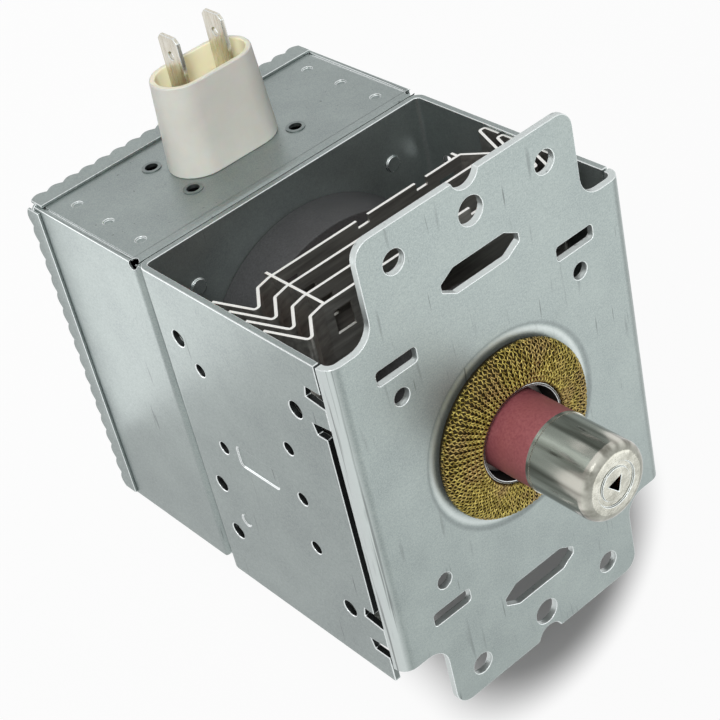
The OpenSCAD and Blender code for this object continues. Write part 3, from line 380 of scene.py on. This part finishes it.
FINISHES = {
    "galvanised_steel": galvanised_steel("galvanised_steel"),
    "stainless_steel": stainless_steel(),
    "sealing_steel": dull_metal("sealing_steel", srgb(74, 68, 66), srgb(106, 99, 96), 0.36),
    "soft_iron": dull_metal("soft_iron", srgb(92, 92, 94), srgb(132, 132, 134), 0.44),
    "refractory_metal": dull_metal("refractory_metal", srgb(86, 88, 92), srgb(124, 126, 130), 0.4),
    "brass_mesh": gasket_core(),
    "copper": dull_metal("copper", srgb(168, 92, 56), srgb(216, 140, 100), 0.26),
    "tinned_brass": tinned_brass(),
    "fin_aluminium": fin_aluminium(),
    "ferrite": fired_ceramic("ferrite", srgb(52, 52, 53), srgb(76, 76, 77), 0.5, 0.4),
    "pink_alumina": fired_ceramic("pink_alumina", srgb(138, 72, 78), srgb(162, 96, 98), 0.46, 0.5),
    "white_alumina": fired_ceramic("white_alumina", srgb(214, 208, 202), srgb(238, 234, 228), 0.42, 0.5),
    "capacitor_ceramic": fired_ceramic("capacitor_ceramic", srgb(136, 92, 56), srgb(170, 122, 82), 0.5, 0.5),
    "ivory_plastic": ivory_plastic(middle_mm("connector_housing")),
    "black_plastic": moulded_plastic("black_plastic", srgb(34, 34, 36), srgb(58, 58, 60)),
}
# Nodes whose wear, painted highlights or painted shade differ from the rest of their material
NODE_FINISHES = {
    "front_plate": galvanised_steel("galvanised_plate", wear_and_painted_light=True),
    "yoke_frame": galvanised_steel("galvanised_yoke", hole_shade_node="yoke_frame"),
    "capacitor_rivets": plated_rivet(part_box("capacitor_rivets")[1].y / MM),
}
# Painted highlight for the bevelled edges of the nodes in EDGE_WIDTH
EDGE = sheet_edge_highlight()

# Width of the bevelled edge that takes the painted edge highlight on each sheet or moulded node, in millimetres
EDGE_WIDTH = {
    "front_plate": 0.14, "yoke_frame": 0.18, "filter_case": 0.14, "filter_cover": 0.12,
    "antenna_cap": 0.1, "blade_left": 0.1, "blade_right": 0.1
}
# Width of a plain softened edge on the other nodes that show
SOFT_WIDTH = {"connector_housing": 0.25, "output_ceramic": 0.2, "input_magnet": 0.4, "output_magnet": 0.4}
SMOOTH_BELOW = math.radians(30)
BEVEL_ABOVE = math.radians(40)
FLAT_BELOW = math.radians(0.5)
MERGE_BELOW = 0.001 * MM
BEVEL_SEGMENTS = 2


def clean_group():
    """Geometry nodes that join a solid's faces and shade smooth across its shallow edges."""
    group = bpy.data.node_groups.new("clean_solid", "GeometryNodeTree")
    group.interface.new_socket("Geometry", in_out="INPUT", socket_type="NodeSocketGeometry")
    group.interface.new_socket("Geometry", in_out="OUTPUT", socket_type="NodeSocketGeometry")

    def add(kind, **settings):
        node = group.nodes.new(kind)
        for name, value in settings.items():
            setattr(node, name, value)
        return node

    start = add("NodeGroupInput")
    plain = add("GeometryNodeRemoveAttribute")
    plain.inputs["Name"].default_value = "custom_normal"
    merge = add("GeometryNodeMergeByDistance")
    merge.inputs["Distance"].default_value = MERGE_BELOW
    smooth = add("GeometryNodeSetShadeSmooth", domain="FACE")
    angle = add("GeometryNodeInputMeshEdgeAngle")
    steep = add("FunctionNodeCompare", data_type="FLOAT", operation="GREATER_THAN")
    steep.inputs["B"].default_value = SMOOTH_BELOW
    sharp = add("GeometryNodeSetShadeSmooth", domain="EDGE")
    sharp.inputs["Shade Smooth"].default_value = False
    end = add("NodeGroupOutput")
    for a, b in ((start, plain), (plain, merge), (merge, smooth), (smooth, sharp), (sharp, end)):
        group.links.new(a.outputs[0], b.inputs[0])
    group.links.new(angle.outputs["Unsigned Angle"], steep.inputs["A"])
    group.links.new(steep.outputs[0], sharp.inputs["Selection"])
    return group


CLEAN = clean_group()


def dress(name):
    """Gives a CAD node its finish, smooth shading and softened edges. Its own mesh stays as it is."""
    node = nodes[name]
    slot = next(p["material_slot"] for p in frame["record"]["subparts"] if p["node"] == name)
    node.data.materials.clear()
    node.data.materials.append(NODE_FINISHES.get(name) or FINISHES[slot])
    node.modifiers.new("clean", "NODES").node_group = CLEAN
    width = EDGE_WIDTH.get(name) or SOFT_WIDTH.get(name)
    if width:
        flat = node.modifiers.new("flat_faces", "DECIMATE")
        flat.decimate_type = "DISSOLVE"
        flat.angle_limit = FLAT_BELOW
        bevel = node.modifiers.new("edges", "BEVEL")
        bevel.width = width * MM
        bevel.segments = BEVEL_SEGMENTS
        bevel.limit_method = "ANGLE"
        bevel.angle_limit = BEVEL_ABOVE
        bevel.use_clamp_overlap = False
        if name in EDGE_WIDTH:
            node.data.materials.append(EDGE)
            bevel.material = 1
        node.modifiers.new("normals", "WEIGHTED_NORMAL")


for node_name in nodes:
    dress(node_name)


def sweep(name, paths, radius, sides, material):
    """One mesh of round wires, each along a closed path of points with an upward direction at each point."""
    verts, faces = [], []
    turn = 2 * math.pi * np.arange(sides) / sides
    for path, up in paths:
        count = len(path)
        along = np.roll(path, -1, 0) - np.roll(path, 1, 0)
        along /= np.linalg.norm(along, axis=1, keepdims=True)
        side = np.cross(along, up)
        side /= np.linalg.norm(side, axis=1, keepdims=True)
        lift = np.cross(side, along)
        out = np.cos(turn)[:, None] * side[:, None] + np.sin(turn)[:, None] * lift[:, None]
        ring = path[:, None] + radius * out
        first = len(verts)
        verts.extend(ring.reshape(-1, 3).tolist())
        for i in range(count):
            for k in range(sides):
                j, m = (i + 1) % count, (k + 1) % sides
                faces.append([first + i * sides + k, first + j * sides + k,
                              first + j * sides + m, first + i * sides + m])
    mesh = bpy.data.meshes.new(name)
    mesh.from_pydata(verts, [], faces)
    mesh.polygons.foreach_set("use_smooth", [True] * len(mesh.polygons))
    mesh.materials.append(material)
    piece = bpy.data.objects.new(name, mesh)
    bpy.context.scene.collection.objects.link(piece)
    return piece


# Knitted wire on the gasket: courses run round it, and their loops stand along its section
STITCHES = 78
COURSES = 10
STITCH_POINTS = 16
WIRE_R = 0.16 * MM
WIRE_SIDES = 5
LOOP_NECK = 0.03
LOOP_LEAN = 1.6
LOOP_REACH = 0.66
LOOP_LIFT = 0.2 * MM
# Looser stitches on one side of the gasket, with waves given as a count per turn and a shift per course
SWAY = 0.35
REACH_SWING = 0.5
LOOSE_AT = 0.3
TIGHTEST = 0.15
SWAY_WAVE, SWAY_BEAT, REACH_WAVE = (9, 1.9), (4, 2.3), (23, 2.7)
# Section that the wire follows: its foot, the round of its crown and its inner lip
GASKET_INNER = 10.15 * MM
FOOT_HEIGHT = 0.8 * MM
CROWN_R = 2.2 * MM
CROWN_DROP = 0.6 * MM
CROWN_POINTS = 9
CROWN_STEP = math.radians(10.4625)
LIP_WIDTH = 0.6 * MM
LIP_END = 0.15 * MM
LIP_DROP = 0.3 * MM
SECTION_ENDS = (0.01, 0.99)
SLOPE_STEP = 0.02


def gasket_section():
    """Points up the outside of the gasket and over its crown to the inner lip, as radius and height."""
    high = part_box("gasket_ring")[1]
    outer, top = high.x, high.z
    points = [(outer, FOOT_HEIGHT)]
    for i in range(CROWN_POINTS):
        a = CROWN_STEP * i
        points.append((outer - CROWN_R + CROWN_R * math.cos(a), top - CROWN_DROP - CROWN_R + CROWN_R * math.sin(a)))
    points += [(GASKET_INNER + LIP_WIDTH, top), (GASKET_INNER + LIP_END, top - LIP_DROP)]
    return np.array(points)


def along_section(points, share):
    """Point and outward normal of a polyline at a share of its length."""
    steps = np.linalg.norm(np.diff(points, axis=0), axis=1)
    run = np.concatenate([[0], np.cumsum(steps)]) / steps.sum()

    def at(part):
        return np.interp(part, run, points[:, 0]), np.interp(part, run, points[:, 1])

    r, z = at(share)
    (r_next, z_next), (r_last, z_last) = at(share + SLOPE_STEP), at(share - SLOPE_STEP)
    dr, dz = r_next - r_last, z_next - z_last
    length = np.hypot(dr, dz)
    return r, z, dz / length, -dr / length


def wave(turn, course, per_turn, shift):
    """A sine round the gasket, which starts elsewhere on each course."""
    return np.sin(per_turn * turn + shift * course)


def knitted_gasket():
    """Courses of wire loops from the foot of the gasket, over its crown, to its inner lip."""
    section = gasket_section()
    t = 2 * np.pi * np.arange(STITCHES * STITCH_POINTS) / STITCH_POINTS
    turn = t / STITCHES
    loose = TIGHTEST + (1 - TIGHTEST) * (0.5 + 0.5 * np.cos(turn - LOOSE_AT)) ** 2
    paths = []
    for course in range(COURSES):
        sway = SWAY * loose * wave(turn, course, *SWAY_WAVE) * wave(turn, course, *SWAY_BEAT)
        loop = (t + LOOP_LEAN * np.sin(2 * t)) / (2 * np.pi) - LOOP_NECK * np.sin(t) + sway
        angle = loop * 2 * np.pi / STITCHES
        reach = LOOP_REACH * (1 + REACH_SWING * loose * wave(turn, course, *REACH_WAVE))
        share = (course + 0.5 + reach * np.cos(t)) / COURSES
        r, z, nr, nz = along_section(section, np.clip(share, *SECTION_ENDS))
        lift = WIRE_R - LOOP_LIFT * np.cos(2 * t)
        r, z = r + lift * nr, z + lift * nz
        path = np.stack([r * np.cos(angle), r * np.sin(angle), z], 1)
        up = np.stack([nr * np.cos(angle), nr * np.sin(angle), nz], 1)
        paths.append((path, up))
    piece = sweep("gasket_wire", paths, WIRE_R, WIRE_SIDES, brass_wire())
    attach(piece, "root")


knitted_gasket()


# Studio: the floor shows the shadow round a line from one point to another, and glows white from there outwards
SHADOW_FROM = (0.02, -0.02)
SHADOW_TO = (0.075, -0.155)
SHADOW_INNER = 0.028
SHADOW_OUTER = 0.052
FLOOR_HALF = 40.0
FLOOR_GREY = (0.75, 0.75, 0.75, 1)
FLOOR_GLOW = 0.95
SKY_COLOUR = (0.97, 0.99, 0.98, 1)
SKY_LIGHT = 0.15
KEY_AT = (-0.35, 0.55, 0.42)
KEY_SIZE = 0.2
FRONT_AT = (0.5, -0.44, 0.72)
CARD_AT = (-0.075, 0.01, cad_low.z + 0.5 * MM)
UPWARDS = (0, 0, 1)


def seen_share(tree):
    """Light Path rays that meet a backdrop as the eye does: straight, mirrored or through a clear body."""
    rays = tree.nodes.new("ShaderNodeLightPath").outputs
    share = rays["Is Camera Ray"]
    for kind in ("Is Glossy Ray", "Is Transmission Ray"):
        either = tree.nodes.new("ShaderNodeMath")
        either.operation = "MAXIMUM"
        tree.links.new(share, either.inputs[0])
        tree.links.new(rays[kind], either.inputs[1])
        share = either.outputs[0]
    return share


def floor_paper():
    """Pale paper that keeps the shadow behind the object, and is near white to the eye elsewhere."""
    f = Finish("studio_floor", Base_Color=FLOOR_GREY, Roughness=1.0, Specular_IOR_Level=0.0)
    glow = f.add("Emission", {"Strength": 1.0})
    start = Vector((*SHADOW_FROM, cad_low.z))
    run = Vector((*SHADOW_TO, cad_low.z)) - start
    where = f.add("TexCoord").outputs["Object"]
    where = f.add("VectorMath", {0: where, 1: start}, operation="SUBTRACT").outputs[0]
    along = f.add("VectorMath", {0: where, 1: run / run.length_squared}, operation="DOT_PRODUCT").outputs["Value"]
    nearest = f.add("VectorMath", {0: run, "Scale": f.span(along, 0, 1)}, operation="SCALE").outputs[0]
    away = f.add("VectorMath", {0: where, 1: nearest}, operation="DISTANCE").outputs["Value"]
    white = f.span(away, SHADOW_INNER, SHADOW_OUTER, 0, FLOOR_GLOW, "SMOOTHSTEP")
    share = f.math("MULTIPLY", seen_share(f.tree), white)
    mix = f.add("MixShader", {0: share, 1: f.shader.outputs[0], 2: glow.outputs[0]})
    f.tree.links.new(mix.outputs[0], f.output.inputs["Surface"])
    return f.material


def make_floor():
    """A wide plain floor at the foot of the object."""
    corners = ((-1, -1), (1, -1), (1, 1), (-1, 1))
    mesh = bpy.data.meshes.new("floor")
    mesh.from_pydata([(x * FLOOR_HALF, y * FLOOR_HALF, cad_low.z) for x, y in corners], [], [(0, 1, 2, 3)])
    mesh.materials.append(floor_paper())
    floor = bpy.data.objects.new("floor", mesh)
    bpy.context.scene.collection.objects.link(floor)


def soft_box(name, at, size, power, aim=None, panel=False):
    """A square area lamp for diffuse surfaces, or a panel that only glossy surfaces mirror.

    It is aimed at the middle of the object unless a direction is given. The power is in watts."""
    lamp = bpy.data.lights.new(name, "AREA")
    lamp.size = size
    lamp.energy = power
    light = bpy.data.objects.new(name, lamp)
    bpy.context.scene.collection.objects.link(light)
    light.visible_camera = False
    light.visible_diffuse = not panel
    light.visible_glossy = panel
    light.location = Vector(at)
    aim = Vector(aim) if aim else (cad_low + cad_high) / 2 - light.location
    light.rotation_mode = "QUATERNION"
    light.rotation_quaternion = aim.to_track_quat("-Z", "Y")


def make_world():
    """A white backdrop to the eye and in metal, and a soft sky as light."""
    world = bpy.data.worlds.new("studio")
    world.use_nodes = True
    tree = world.node_tree
    background = tree.nodes["Background"]
    background.inputs["Color"].default_value = SKY_COLOUR
    strength = tree.nodes.new("ShaderNodeMapRange")
    strength.inputs["To Min"].default_value = SKY_LIGHT
    strength.inputs["To Max"].default_value = 1.0
    tree.links.new(seen_share(tree), strength.inputs["Value"])
    tree.links.new(strength.outputs[0], background.inputs["Strength"])
    bpy.context.scene.world = world


def make_camera():
    """The photograph's camera, without shift or depth of field."""
    data = bpy.data.cameras.new("camera")
    data.sensor_width = SENSOR
    data.lens = FOCAL_PX / IMAGE_SIZE * SENSOR
    data.clip_start, data.clip_end = CAMERA_CLIP
    camera = bpy.data.objects.new("camera", data)
    bpy.context.scene.collection.objects.link(camera)
    right = CAMERA_RIGHT.normalized()
    up = -CAMERA_DOWN.normalized()
    back = right.cross(up)
    turn = Matrix((right, up, back)).transposed().to_4x4()
    camera.matrix_world = Matrix.Translation(CAMERA_AT) @ turn
    bpy.context.scene.camera = camera


make_floor()
soft_box("key", KEY_AT, KEY_SIZE, power=5.0)
soft_box("glint", KEY_AT, KEY_SIZE, power=2.2, panel=True)
soft_box("front", FRONT_AT, size=0.4, power=0.8, panel=True)
soft_box("card", CARD_AT, size=0.07, power=0.015, aim=UPWARDS, panel=True)
make_world()
make_camera()
bpy.context.scene.view_settings.view_transform = "Standard"
